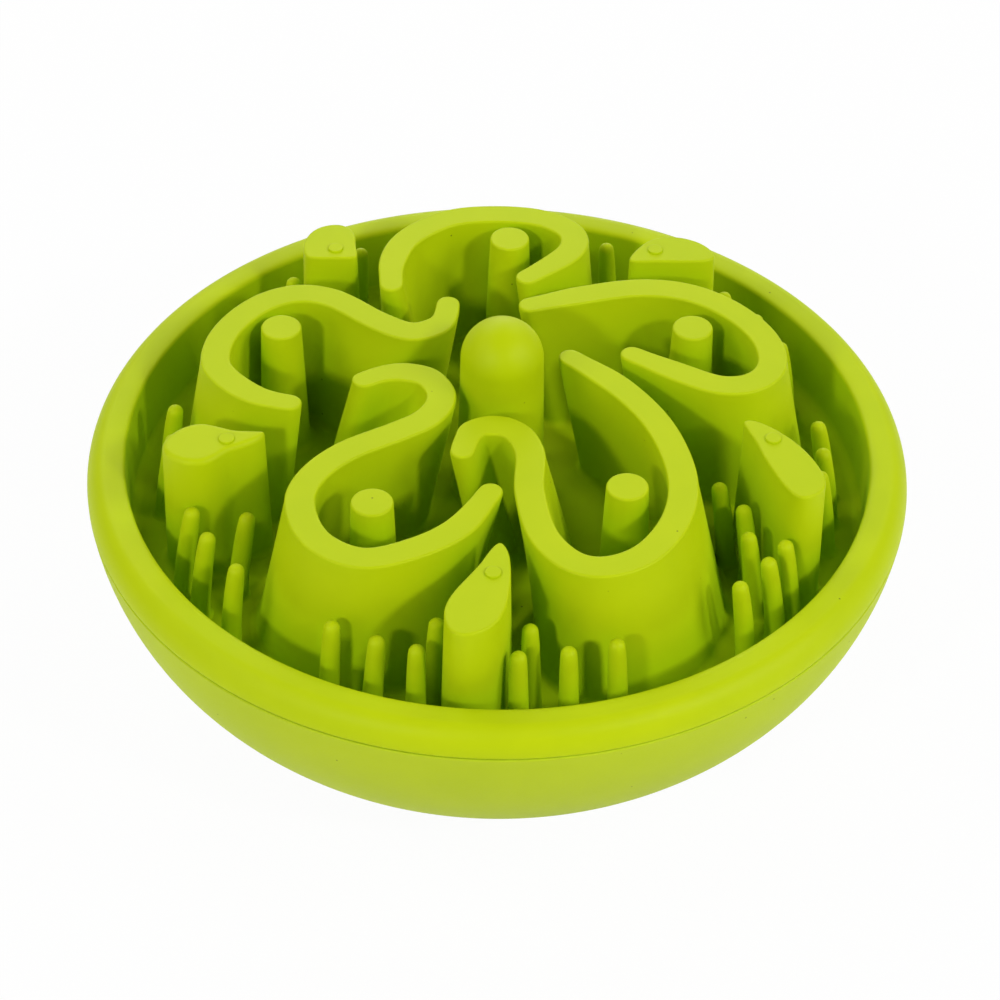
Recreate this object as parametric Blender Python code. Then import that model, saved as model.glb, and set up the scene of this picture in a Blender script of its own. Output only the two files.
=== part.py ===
"""Round-bottomed rubber slow feeder for dogs with a flower-shaped food maze.

Sizes are in millimetres. The rest face is at z = 0, the front is -Y and +Z is up.
"""
import math

import bmesh
import bpy
from mathutils import Matrix, Vector
from mathutils.geometry import interpolate_bezier

MM = 0.001

# Fit between two mouldings that touch.
SEAT_GAP = 0.3

# Ballast disc and the round hull that carries it.
BALLAST_R = 26.0
BALLAST_THICK = 12.0
BALLAST_EDGE = 1.2
CUP_WALL = 3.0
CUP_HEIGHT = 6.0
CUP_TOE = 0.7
HULL_WALL = 3.6
HULL_BOTTOM = 6.0
SEAM_R = 100.6
SEAM_DROP = 6.3
BULGE_RISE = 0.4

# Rolled rim, well and floor.
RIM_HEIGHT = 67.0
RIM_CREST_SET = 4.6
RIM_CREST_RISE = 1.1
RIM_EDGE_ROUND = 0.9
WELL_FLARE = 0.4
WELL_WALL = 1.85
WELL_DEPTH = 18.0
FLOOR_THICK = 3.6
LIP_WIDTH = 6.0
LIP_THICK = 2.6

# Petal walls.
CHANNEL_WIDTH = 14.6
MAZE_HEIGHT = 36.0
PETAL_WIDTH = 7.2
PETAL_TIP_WIDTH = 5.8
PETAL_TAPER = 14.0
EDGE_INSET = 0.9
EDGE_DROP = 1.1
EDGE_STEPS = 2
FOOT_OUT = 1.1
FOOT_GAP = 0.7
FLARE_START_R = 38.0
FLARE_FULL_R = 55.0
SECTION_STEP = 4.0

# Posts and leaf blocks.
POST_R = 5.0
POST_FOOT_R = 6.2
CENTRE_R = 10.1
CENTRE_FOOT_R = 10.9
CENTRE_RISE = 33.0
LEAF_FOOT_OUT = 0.8

# Pegs.
PEG_RISE = 6.3
PEG_TIP_R = 1.9
PEG_FOOT_R = 2.7
PEG_LEAN = 1.3
PEG_SET = 4.0
PEG_CLEAR = 0.6

# Facets round each turned piece.
BOWL_FACETS = 72
POST_FACETS = 20
PEG_FACETS = 10

# Plan drawing of the maze, in hundredths of the maze radius.
# Each petal: centre line, spread of its outward wall at the foot, centre of its post.
PETALS = (
    (((-43, 4), (-34, 8), (-23, 6), (-18, -4), (-22, -14), (-31, -21), (-47, -31), (-57, -43),
      (-60, -56), (-54, -72), (-40, -80), (-24, -75), (-11, -65), (-2, -49)), 10.5, (-38, -55)),
    (((-11, -30), (-7, -19), (4, -19), (10, -30), (10, -48), (14, -68), (23, -80), (34, -82),
      (46, -75), (55, -59), (57, -40), (51, -17), (39, 2), (23, 17)), 9.0, (40, -46)),
    (((10, 44), (28, 50), (46, 54), (62, 52), (76, 43), (86, 29), (88, 15), (82, 6), (71, 4),
      (58, 10), (43, 19)), 8.0, (63, 33)),
    (((-36, 54), (-36, 67), (-31, 80), (-18, 91), (-2, 94), (14, 92), (24, 84), (23, 73),
      (9, 59)), 2.5, (3, 80)),
    (((-17, 44), (-19, 34), (-28, 29), (-39, 34), (-55, 46), (-68, 48), (-80, 41), (-89, 27),
      (-91, 12), (-85, 2), (-76, -5), (-66, -8)), 6.5, (-71, 30)),
)

# Each leaf block: outline anticlockwise from its tip, pegs beside it.
LEAVES = (
    (((-72.9, -22.8), (-73.6, -22.1), (-76.7, -21.5), (-82.1, -21.3), (-87.6, -19.6), (-92.3, -18.4),
      (-96.1, -19.0), (-99.9, -21.3), (-102.8, -24.8), (-104.2, -28.4), (-103.9, -31.5), (-101.9, -34.4),
      (-98.4, -36.7), (-94.1, -37.7), (-90.3, -37.1), (-87.3, -35.1), (-83.6, -31.3), (-79.1, -28.9),
      (-74.9, -26.2), (-73.0, -23.8)), ((-79, -45),)),
    (((1.3, -72.3), (0.3, -72.6), (-1.7, -75.4), (-4.7, -81.5), (-8.3, -87.4), (-12.0, -93.4),
      (-14.3, -98.7), (-15.0, -103.6), (-14.1, -108.2), (-12.2, -111.3), (-9.7, -112.5), (-6.4, -112.1),
      (-2.3, -109.8), (0.9, -106.2), (2.9, -101.4), (4.0, -95.3), (4.5, -88.5), (4.4, -81.8),
      (3.6, -75.9), (2.2, -72.9)), ((-18, -92), (11, -94))),
    (((77.6, -13.9), (77.3, -15.0), (78.7, -19.1), (80.9, -24.9), (82.8, -31.3), (85.2, -37.6),
      (88.0, -44.0), (90.7, -48.3), (93.0, -49.9), (95.5, -49.8), (98.7, -47.8), (100.7, -44.8),
      (101.1, -41.1), (99.7, -35.6), (97.2, -30.1), (93.8, -24.7), (89.8, -20.1), (85.1, -16.0),
      (80.8, -13.6), (78.5, -13.4)), ((79, -51), (78, -38), (71, -27))),
    (((43.3, 69.0), (43.9, 68.4), (46.3, 68.1), (52.0, 68.4), (57.5, 68.5), (63.3, 68.5),
      (68.1, 68.9), (70.8, 69.9), (71.7, 71.0), (71.8, 72.5), (70.8, 75.3), (68.4, 78.3),
      (65.1, 80.6), (61.1, 82.1), (56.9, 82.5), (53.1, 81.8), (49.9, 80.0), (47.1, 77.0),
      (44.3, 72.7), (43.2, 69.8)), ()),
    (((-48.4, 68.4), (-48.0, 69.4), (-48.4, 72.6), (-48.9, 76.8), (-49.2, 80.5), (-50.6, 83.7),
      (-52.4, 85.6), (-54.9, 86.6), (-57.9, 86.4), (-60.9, 85.2), (-63.5, 82.9), (-65.2, 79.8),
      (-66.2, 75.9), (-66.1, 71.8), (-65.3, 69.1), (-64.3, 68.0), (-61.8, 67.4), (-57.1, 67.4),
      (-51.8, 67.6), (-49.1, 67.9)), ()),
)

CENTRE_PLAN_PERCENT = (1, 8)

# Bearings in degrees of the pegs of the outer row, group by group.
PEG_BEARINGS_DEG = (
    (-117.6, -110.0, -102.5), (-86.0, -78.0, -69.7), (-44.0, -36.0, -27.5), (-11.6, -4.8, 2.0),
    (25.8, 34.5, 44.1), (69.5, 77.5, 85.5), (101.0, 109.0, 117.1), (132.5, 140.5, 148.5),
    (175.9, 184.4), (202.2, 211.0, 220.8),
)

# Sizes that follow from the ones above.
FLOOR_Z = RIM_HEIGHT - WELL_DEPTH
LIP_TOP_Z = FLOOR_Z - FLOOR_THICK - SEAT_GAP
LIP_LOW_Z = LIP_TOP_Z - LIP_THICK
SEAM_Z = RIM_HEIGHT - SEAM_DROP
BULGE_Z = RIM_HEIGHT + BULGE_RISE
FOOT_Z = FLOOR_Z + SEAT_GAP
TOP_Z = FLOOR_Z + MAZE_HEIGHT
CUP_R = BALLAST_R + SEAT_GAP
REST_FACE_R = CUP_R + CUP_WALL + CUP_TOE


def hull_outer(height):
    """Radius of the outside of the hull: an upright ellipse that meets the rest face."""
    half = (SEAM_R - REST_FACE_R) / math.sqrt(1.0 - ((BULGE_Z - SEAM_Z) / BULGE_Z) ** 2)
    rise = min(1.0, (BULGE_Z - height) / BULGE_Z)
    return REST_FACE_R + half * math.sqrt(1.0 - rise * rise)


def hull_inner(height):
    """Radius of the inside of the hull, one wall in from the outside."""
    half = hull_outer(BULGE_Z) - REST_FACE_R - HULL_WALL
    rise = min(1.0, (BULGE_Z - height) / (BULGE_Z - HULL_BOTTOM))
    return REST_FACE_R + half * math.sqrt(1.0 - rise * rise)


WELL_R = hull_inner(LIP_TOP_Z) - SEAT_GAP - WELL_WALL
RIM_INNER_R = WELL_R + WELL_FLARE
MAZE_R = WELL_R - CHANNEL_WIDTH
PEG_ROW_R = MAZE_R + PEG_SET


def plan(point):
    """A point of the plan drawing in millimetres."""
    return Vector((plan_size(point[0]), plan_size(point[1])))


def plan_size(size):
    return size * MAZE_R / 100.0


def polar(radius, degrees):
    return Vector((radius * math.cos(math.radians(degrees)), radius * math.sin(math.radians(degrees))))


def ease(value):
    value = min(1.0, max(0.0, value))
    return value * value * (3.0 - 2.0 * value)


def material(name, colour, roughness, metallic):
    made = bpy.data.materials.new(name)
    made.use_nodes = True
    shader = made.node_tree.nodes["Principled BSDF"]
    shader.inputs["Base Color"].default_value = (*colour, 1.0)
    shader.inputs["Roughness"].default_value = roughness
    shader.inputs["Metallic"].default_value = metallic
    made.diffuse_color = (*colour, 1.0)
    return made


def add(name, shape, paint, parent, spot=(0.0, 0.0)):
    """Make a named object from a shape in millimetres, standing at a spot of the plan."""
    bmesh.ops.recalc_face_normals(shape, faces=shape.faces)
    bmesh.ops.scale(shape, vec=(MM, MM, MM), verts=shape.verts)
    mesh = bpy.data.meshes.new(name)
    shape.to_mesh(mesh)
    shape.free()
    mesh.shade_smooth()
    mesh.set_sharp_from_angle(angle=math.radians(35.0))
    mesh.materials.append(paint)
    made = bpy.data.objects.new(name, mesh)
    made.location = (spot[0] * MM, spot[1] * MM, 0.0)
    made.parent = parent
    bpy.context.scene.collection.objects.link(made)
    return made


def turned(profile, facets, ring=False):
    """Spin (radius, height) points round the upright axis; a ring's profile is closed."""
    shape = bmesh.new()
    verts = [shape.verts.new((radius, 0.0, height)) for radius, height in profile]
    edges = [shape.edges.new(pair) for pair in zip(verts, verts[1:])]
    if ring:
        edges.append(shape.edges.new((verts[-1], verts[0])))
    bmesh.ops.spin(shape, geom=verts + edges, cent=(0, 0, 0), axis=(0, 0, 1),
                   angle=2.0 * math.pi, steps=facets, use_merge=True)
    bmesh.ops.remove_doubles(shape, verts=shape.verts, dist=0.0005)
    bmesh.ops.dissolve_degenerate(shape, edges=shape.edges, dist=0.0005)
    return shape


def lofted(loops):
    """Skin a row of equal loops of points and cap both ends."""
    shape = bmesh.new()
    rows = [[shape.verts.new(point) for point in loop] for loop in loops]
    for low, high in zip(rows, rows[1:]):
        for i in range(len(low)):
            j = (i + 1) % len(low)
            shape.faces.new((low[i], low[j], high[j], high[i]))
    shape.faces.new(rows[0])
    shape.faces.new(rows[-1])
    return shape


def raised(point, height):
    return (point.x, point.y, height)


def hull_profile():
    steps = 10
    points = [(0.0, 0.0)]
    for i in range(steps + 1):
        height = SEAM_Z * (i / steps) ** 2
        points.append((hull_outer(height), height))
    for i in range(steps + 1):
        height = HULL_BOTTOM + (SEAM_Z - HULL_BOTTOM) * (1.0 - i / steps) ** 2
        points.append((hull_inner(height), height))
    cup_top = HULL_BOTTOM + CUP_HEIGHT
    points += [(CUP_R + CUP_WALL, HULL_BOTTOM), (CUP_R + CUP_WALL, cup_top), (CUP_R, cup_top),
               (CUP_R, HULL_BOTTOM), (0.0, HULL_BOTTOM)]
    return points


def rim_profile():
    """Rolled rim, well wall, lip under the floor and the plug that fits the hull's mouth."""
    steps = 6
    under = SEAM_Z + SEAT_GAP
    crest = RIM_HEIGHT + RIM_CREST_RISE
    crest_r = RIM_INNER_R + RIM_CREST_SET
    points = []
    for i in range(steps + 1):
        turn = 0.5 * math.pi * i / steps
        points.append((crest_r + (SEAM_R - crest_r) * math.cos(turn),
                       under + (crest - under) * math.sin(turn)))
    points += [(RIM_INNER_R + RIM_EDGE_ROUND, RIM_HEIGHT), (RIM_INNER_R, RIM_HEIGHT - RIM_EDGE_ROUND),
               (WELL_R, LIP_TOP_Z), (WELL_R - LIP_WIDTH, LIP_TOP_Z), (WELL_R - LIP_WIDTH, LIP_LOW_Z)]
    for i in range(steps + 1):
        height = LIP_LOW_Z + (under - LIP_LOW_Z) * i / steps
        points.append((hull_inner(height) - SEAT_GAP, height))
    return points


def leaf_outline(leaf, grow):
    """Outline of a leaf block, moved out by grow all round."""
    line = [plan(point) for point in leaf[0]]
    moved = []
    for before, point, after in zip(line[-1:] + line[:-1], line, line[1:] + line[:1]):
        along = (after - before).normalized()
        moved.append(point + Vector((along.y, -along.x)) * grow)
    return moved


def edge_round():
    """Steps of the rounded top edge: (move inwards, height)."""
    steps = []
    for i in range(EDGE_STEPS + 1):
        turn = 0.5 * math.pi * i / EDGE_STEPS
        steps.append((EDGE_INSET * (1.0 - math.cos(turn)), TOP_Z - EDGE_DROP * (1.0 - math.sin(turn))))
    return steps


def leaf_block(leaf):
    levels = [(FOOT_Z, LEAF_FOOT_OUT)] + [(height, -inset) for inset, height in edge_round()]
    return lofted([[raised(p, height) for p in leaf_outline(leaf, grow)] for height, grow in levels])


def post(radius, foot_radius):
    """Tapered round post with a flat top and a softened edge."""
    edge = [(radius - inset, height) for inset, height in edge_round()]
    return turned([(0.0, FOOT_Z), (foot_radius, FOOT_Z)] + edge + [(0.0, TOP_Z)], POST_FACETS)


def domed(foot_radius, radius, top, facets, steps):
    """Tapered round post with a domed top."""
    points = [(0.0, FOOT_Z), (foot_radius, FOOT_Z)]
    for i in range(steps):
        turn = 0.5 * math.pi * i / steps
        points.append((radius * math.cos(turn), top - radius + radius * math.sin(turn)))
    return turned(points + [(0.0, top)], facets)


def peg(spot):
    """Small peg whose tip leans to the middle of the bowl."""
    top = RIM_HEIGHT + PEG_RISE
    shape = domed(PEG_FOOT_R, PEG_TIP_R, top, PEG_FACETS, 2)
    inward = -spot.normalized() * PEG_LEAN
    for vert in shape.verts:
        lean = inward * ((vert.co.z - FOOT_Z) / (top - FOOT_Z))
        vert.co.x += lean.x
        vert.co.y += lean.y
    return shape


def room_to_loop(spot, loop):
    """Distance from a spot to a closed loop of points, or zero inside it."""
    best = math.inf
    inside = False
    for a, b in zip(loop, loop[1:] + loop[:1]):
        share = min(1.0, max(0.0, (spot - a).dot(b - a) / (b - a).length_squared))
        best = min(best, (a.lerp(b, share) - spot).length)
        if (a.y > spot.y) != (b.y > spot.y) and spot.x < a.x + (b.x - a.x) * (spot.y - a.y) / (b.y - a.y):
            inside = not inside
    return 0.0 if inside else best


def settled(spot):
    """Slide a peg round the bowl until its foot is clear of the leaf blocks."""
    for leaf in LEAVES:
        loop = leaf_outline(leaf, LEAF_FOOT_OUT)
        heart = sum(loop, Vector((0.0, 0.0))) / len(loop)
        way = 0.002 if heart.cross(spot) > 0.0 else -0.002
        while room_to_loop(spot, loop) < PEG_FOOT_R + PEG_CLEAR:
            spot = Matrix.Rotation(way, 2) @ spot
    return spot


def peg_spots():
    spots = []
    for leaf in LEAVES:
        spots += [plan(point) for point in leaf[1]]
    for group in PEG_BEARINGS_DEG:
        spots += [polar(PEG_ROW_R, bearing) for bearing in group]
    return [settled(spot) for spot in spots]


def petal_line(points):
    """Even stations along a smooth curve through the points: position, heading, way along."""
    knots = [plan(point).to_3d() for point in points]
    fine = []
    for i in range(len(knots) - 1):
        before = knots[max(i - 1, 0)]
        after = knots[min(i + 2, len(knots) - 1)]
        first = knots[i] + (knots[i + 1] - before) / 6.0
        second = knots[i + 1] - (after - knots[i]) / 6.0
        fine += interpolate_bezier(knots[i], first, second, knots[i + 1], 24)[:-1]
    fine.append(knots[-1])
    way = [0.0]
    for a, b in zip(fine, fine[1:]):
        way.append(way[-1] + (b - a).length)
    count = max(8, round(way[-1] / SECTION_STEP))
    stations = []
    at = 0
    for i in range(count + 1):
        goal = way[-1] * i / count
        while at < len(way) - 2 and way[at + 1] < goal:
            at += 1
        share = (goal - way[at]) / (way[at + 1] - way[at])
        heading = (fine[at + 1] - fine[at]).to_2d().normalized()
        stations.append((fine[at].lerp(fine[at + 1], share).to_2d(), heading, goal, way[-1]))
    return stations


def petal_half(way, length):
    """Half width of a petal wall, which narrows towards both ends."""
    full = ease(min(way, length - way) / PETAL_TAPER)
    return 0.5 * (PETAL_TIP_WIDTH + (PETAL_WIDTH - PETAL_TIP_WIDTH) * full)


def petal_outline(stations):
    """Left and right wall points with their outward directions, rounded at both ends."""
    left = []
    right = []
    turns = [(0, -turn) for turn in (78, 52, 26)]
    turns += [(i, 0) for i in range(len(stations))]
    turns += [(len(stations) - 1, turn) for turn in (26, 52, 78)]
    for i, turn in turns:
        middle, heading, way, length = stations[i]
        side = Vector((-heading.y, heading.x))
        half = petal_half(way, length)
        ahead = heading * math.sin(math.radians(turn))
        aside = side * math.cos(math.radians(turn))
        left.append((middle + (ahead + aside) * half, ahead + aside))
        right.append((middle + (ahead - aside) * half, ahead - aside))
    return left, right


def foot_spread(outline, spread, blockers):
    """How far each point of a petal's outline moves out at the floor.

    Walls that face the rim spread most. A neighbour's foot stops the spread, and the
    result is evened out along the wall.
    """
    wanted = []
    for point, out in outline:
        reach = ease((point.length - FLARE_START_R) / (FLARE_FULL_R - FLARE_START_R))
        want = FOOT_OUT + plan_size(spread) * reach * max(0.0, out.dot(point.normalized()))
        beside = Vector((-out.y, out.x)) * (0.7 * SECTION_STEP)
        far = want + FOOT_GAP + beside.length
        near = [(c, r + FOOT_GAP) for c, r in blockers if (c - point).length < r + far]
        while want > 0.1 and any((point + out * want + beside * k - c).length < r
                                 for c, r in near for k in (-1, 0, 1)):
            want -= 0.1
        wanted.append(want)
    count = len(wanted)
    least = [min(wanted[(i + k) % count] for k in (-2, -1, 0, 1, 2)) for i in range(count)]
    return [sum(least[(i + k) % count] for k in (-2, -1, 0, 1, 2)) / 5.0 for i in range(count)]


def petal(outline, spread):
    """Skin the petal wall section by section, from one end to the other."""
    half = len(outline) // 2
    loops = []
    for i in range(half):
        sides = []
        for k in (i, 2 * half - 1 - i):
            point, out = outline[k]
            side = [raised(point + out * spread[k], FOOT_Z)]
            side += [raised(point - out * inset, height) for inset, height in edge_round()]
            sides.append(side)
        loops.append(sides[0] + sides[1][::-1])
    return lofted(loops)


def build():
    for old in list(bpy.data.objects):
        bpy.data.objects.remove(old)
    bowl = bpy.data.objects.new("feeder", None)
    bpy.context.scene.collection.objects.link(bowl)
    maze_green = material("maze_rubber", (0.50, 0.60, 0.014), 0.52, 0.0)
    hull_green = material("hull_rubber", (0.45, 0.55, 0.035), 0.55, 0.0)
    iron = material("cast_iron", (0.08, 0.08, 0.085), 0.6, 0.9)

    add("round_hull", turned(hull_profile(), BOWL_FACETS), hull_green, bowl)
    low = HULL_BOTTOM + SEAT_GAP
    high = low + BALLAST_THICK
    disc = [(0.0, low), (BALLAST_R - BALLAST_EDGE, low), (BALLAST_R, low + BALLAST_EDGE),
            (BALLAST_R, high - BALLAST_EDGE), (BALLAST_R - BALLAST_EDGE, high), (0.0, high)]
    add("ballast_disc", turned(disc, BOWL_FACETS // 2), iron, bowl)
    add("rim_ring", turned(rim_profile(), BOWL_FACETS, ring=True), maze_green, bowl)
    edge = WELL_R - SEAT_GAP
    plate = [(0.0, FLOOR_Z - FLOOR_THICK), (edge, FLOOR_Z - FLOOR_THICK), (edge, FLOOR_Z), (0.0, FLOOR_Z)]
    add("dish_floor", turned(plate, BOWL_FACETS), maze_green, bowl)

    pegs = peg_spots()
    posts = [plan(centre) for line, spread, centre in PETALS]
    lines = [petal_line(line) for line, spread, centre in PETALS]
    middle = plan(CENTRE_PLAN_PERCENT)
    fixed = [(spot, PEG_FOOT_R) for spot in pegs] + [(spot, POST_FOOT_R) for spot in posts]
    fixed.append((middle, CENTRE_FOOT_R))
    for leaf in LEAVES:
        fixed += [(point, 0.5) for point in leaf_outline(leaf, LEAF_FOOT_OUT)]
    built = []
    for k, (line, spread, centre) in enumerate(PETALS):
        waiting = []
        for stations in lines[k + 1:]:
            waiting += [(s[0], petal_half(s[2], s[3]) + FOOT_OUT) for s in stations]
        left, right = petal_outline(lines[k])
        outline = left + right[::-1]
        feet = foot_spread(outline, spread, fixed + waiting + built)
        built += [(point + out * move, 0.5) for (point, out), move in zip(outline, feet)]
        add(f"petal_{k + 1}", petal(outline, feet), maze_green, bowl)
        add(f"petal_post_{k + 1}", post(POST_R, POST_FOOT_R), maze_green, bowl, posts[k])
    for k, leaf in enumerate(LEAVES):
        add(f"leaf_block_{k + 1}", leaf_block(leaf), maze_green, bowl)
    dome = domed(CENTRE_FOOT_R, CENTRE_R, RIM_HEIGHT + CENTRE_RISE, POST_FACETS + 8, 5)
    add("centre_post", dome, maze_green, bowl, middle)
    for k, spot in enumerate(pegs):
        add(f"peg_{k + 1:02d}", peg(spot), maze_green, bowl, spot)


build()
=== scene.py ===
# %% [markdown]
# # A lime-green slow feeder for dogs
# The bowl is two rubber mouldings: a round-bottomed hull and, glued into its mouth, a maze of
# petal walls, posts, leaf blocks and pegs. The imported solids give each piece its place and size.
# This file gives them the soft edges, the fillets and the rubber that the eye expects.

# %% Load the solids
import math

import bmesh
import bpy
from mathutils import Matrix, Vector


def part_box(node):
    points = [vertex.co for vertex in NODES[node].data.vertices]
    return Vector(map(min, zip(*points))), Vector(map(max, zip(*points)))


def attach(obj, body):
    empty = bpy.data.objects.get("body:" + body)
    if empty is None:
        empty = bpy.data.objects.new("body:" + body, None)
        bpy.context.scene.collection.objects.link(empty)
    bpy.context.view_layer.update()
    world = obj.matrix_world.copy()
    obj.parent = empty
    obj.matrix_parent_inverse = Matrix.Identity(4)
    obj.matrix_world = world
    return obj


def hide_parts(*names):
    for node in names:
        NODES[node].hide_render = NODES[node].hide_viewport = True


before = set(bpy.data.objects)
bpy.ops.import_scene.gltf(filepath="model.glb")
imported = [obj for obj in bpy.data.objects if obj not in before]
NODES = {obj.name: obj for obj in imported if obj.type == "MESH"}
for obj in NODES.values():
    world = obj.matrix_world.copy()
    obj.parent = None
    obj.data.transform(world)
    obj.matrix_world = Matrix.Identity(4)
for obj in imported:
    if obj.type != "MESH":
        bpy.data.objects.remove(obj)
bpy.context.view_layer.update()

MM = 0.001
print("solids:", len(NODES))

# %% [markdown]
# ## Camera
# The picture was taken with a long lens from about 40 degrees above the table, turned by less
# than a degree. A camera's matrix has three directions in its columns: right, up and backwards.
# Building them by hand, and not by rotation angles, makes the small roll easy to add.

# %% Camera
CAMERA_DISTANCE = 750 * MM
CAMERA_RISE = math.radians(40.523)
CAMERA_ROLL = math.radians(0.915)
RIM_Z = 67 * MM
LOOK_AT = Vector((0.78, 0.0, 49.13)) * MM
LENS_MM = 109.95
SENSOR_MM = 36.0

eye = Vector((0.0,
              -CAMERA_DISTANCE * math.cos(CAMERA_RISE),
              RIM_Z + CAMERA_DISTANCE * math.sin(CAMERA_RISE)))
ahead = (LOOK_AT - eye).normalized()
right = ahead.cross(Vector((0.0, 0.0, 1.0))).normalized()
up = right.cross(ahead)
rolled_right = right * math.cos(CAMERA_ROLL) + up * math.sin(CAMERA_ROLL)
rolled_up = up * math.cos(CAMERA_ROLL) - right * math.sin(CAMERA_ROLL)

camera = bpy.data.objects.new("camera", bpy.data.cameras.new("camera"))
bpy.context.scene.collection.objects.link(camera)
turn = Matrix((rolled_right, rolled_up, -ahead)).transposed()
camera.matrix_world = Matrix.Translation(eye) @ turn.to_4x4()
camera.data.lens = LENS_MM
camera.data.sensor_width = SENSOR_MM
camera.data.clip_start = 0.01
bpy.context.scene.camera = camera
bpy.context.scene.view_settings.view_transform = "Standard"
print("camera at", [round(v, 4) for v in eye], "lens", LENS_MM)

# %% [markdown]
# ## Colours and nodes
# Colours are written as sRGB hex values, as a painter would pick them on a screen. Shaders count
# in linear light, so one function converts them. Another one adds a shader or geometry node,
# sets its options and links its inputs in one line.

# %% Helpers for colours and nodes
def linear(code):
    """Linear red, green, blue and alpha of an sRGB hex colour."""
    shares = [int(code[i:i + 2], 16) / 255.0 for i in (1, 3, 5)]
    return [s / 12.92 if s <= 0.04045 else ((s + 0.055) / 1.055) ** 2.4 for s in shares] + [1.0]


def add_node(tree, kind, inputs=None, **options):
    """A new node: options are its own settings, inputs are values or links by name or number."""
    made = tree.nodes.new(kind)
    for name, value in options.items():
        setattr(made, name, value)
    for key, value in (inputs or {}).items():
        if isinstance(value, bpy.types.NodeSocket):
            tree.links.new(value, made.inputs[key])
        else:
            made.inputs[key].default_value = value
    return made


print("lime as linear light:", [round(v, 3) for v in linear("#BDD000")])

# %% [markdown]
# ## Light and floor
# The picture is a studio shot on white. The pegs throw two shadows each, so two fairly small
# softboxes stand in front. A shadow's direction gives the bearing, its length the elevation.
# Broad softboxes all round lift the channels and put a thin sheen on the far tops. The sky and
# the floor show as plain white, but the floor is still lit, so it throws light up under the
# hull and keeps a trace of the shadow.

# %% Lights
LIGHT_DISTANCE = 1.3
LIGHTS = (
    # name, bearing from the front and elevation in degrees, side of the square in m, watts
    ("left key", -29.0, 31.0, 0.12, 4.6),
    ("right key", 44.0, 37.0, 0.12, 4.8),
    ("left softbox", -78.0, 44.0, 0.5, 3.0),
    ("right softbox", 77.0, 38.0, 0.5, 4.0),
    ("low left softbox", -55.0, 18.0, 0.5, 2.2),
    ("low right softbox", 70.0, 18.0, 0.5, 2.4),
    ("left back softbox", -150.0, 40.0, 0.5, 3.9),
    ("right back softbox", 150.0, 40.0, 0.5, 2.6),
    ("low back softbox", 180.0, 20.0, 0.5, 3.1),
)

for name, bearing, rise, size, watts in LIGHTS:
    lamp = bpy.data.lights.new(name, "AREA")
    lamp.shape = "SQUARE"
    lamp.size = size
    lamp.energy = watts
    holder = bpy.data.objects.new(name, lamp)
    side, climb = math.radians(bearing), math.radians(rise)
    way = Vector((math.sin(side) * math.cos(climb),
                  -math.cos(side) * math.cos(climb),
                  math.sin(climb)))
    holder.location = way * LIGHT_DISTANCE + Vector((0.0, 0.0, RIM_Z))
    holder.rotation_euler = (-way).to_track_quat("-Z", "Y").to_euler()
    bpy.context.scene.collection.objects.link(holder)

print("lights:", [entry[0] for entry in LIGHTS])

# %% White sky and floor
FLOOR_SIZE = 8.0
FLOOR_WHITE = "#F4F4F2"
SHADOW_SHARE = 0.04
SKY_FILL = 0.02
PURE_WHITE = (1.0, 1.0, 1.0, 1.0)


def seen_straight(tree):
    """1 for what the camera sees, also in a mirror or through glass; 0 for light on its way."""
    ray = add_node(tree, "ShaderNodeLightPath").outputs
    mirrored = add_node(tree, "ShaderNodeMath",
                        {0: ray["Is Glossy Ray"], 1: ray["Is Transmission Ray"]},
                        operation="MAXIMUM")
    straight = add_node(tree, "ShaderNodeMath",
                        {0: ray["Is Camera Ray"], 1: mirrored.outputs[0]}, operation="MAXIMUM")
    return straight.outputs[0]


world = bpy.data.worlds.new("white studio")
bpy.context.scene.world = world
world.use_nodes = True
sky = world.node_tree
sky.nodes.clear()
fill = add_node(sky, "ShaderNodeBackground", {"Color": PURE_WHITE, "Strength": SKY_FILL})
seen = add_node(sky, "ShaderNodeBackground", {"Color": PURE_WHITE, "Strength": 1.0})
both = add_node(sky, "ShaderNodeMixShader",
                {0: seen_straight(sky), 1: fill.outputs[0], 2: seen.outputs[0]})
add_node(sky, "ShaderNodeOutputWorld", {"Surface": both.outputs[0]})

white_floor = bpy.data.materials.new("white paper sweep")
white_floor.use_nodes = True
paper = white_floor.node_tree
paper.nodes.clear()
matt = add_node(paper, "ShaderNodeBsdfDiffuse", {"Color": linear(FLOOR_WHITE)})
glow = add_node(paper, "ShaderNodeEmission", {"Color": PURE_WHITE, "Strength": 1.0})
shown = add_node(paper, "ShaderNodeMath",
                 {0: seen_straight(paper), 1: 1.0 - SHADOW_SHARE}, operation="MULTIPLY")
both = add_node(paper, "ShaderNodeMixShader",
                {0: shown.outputs[0], 1: matt.outputs[0], 2: glow.outputs[0]})
add_node(paper, "ShaderNodeOutputMaterial", {"Surface": both.outputs[0]})

floor_mesh = bpy.data.meshes.new("floor")
half = FLOOR_SIZE / 2
corners = [(-half, -half, 0), (half, -half, 0), (half, half, 0), (-half, half, 0)]
floor_mesh.from_pydata(corners, [], [(0, 1, 2, 3)])
floor_mesh.materials.append(white_floor)
floor = bpy.data.objects.new("floor", floor_mesh)
bpy.context.scene.collection.objects.link(floor)
print("floor:", FLOOR_SIZE, "m square, shadow share", SHADOW_SHARE)
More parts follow.
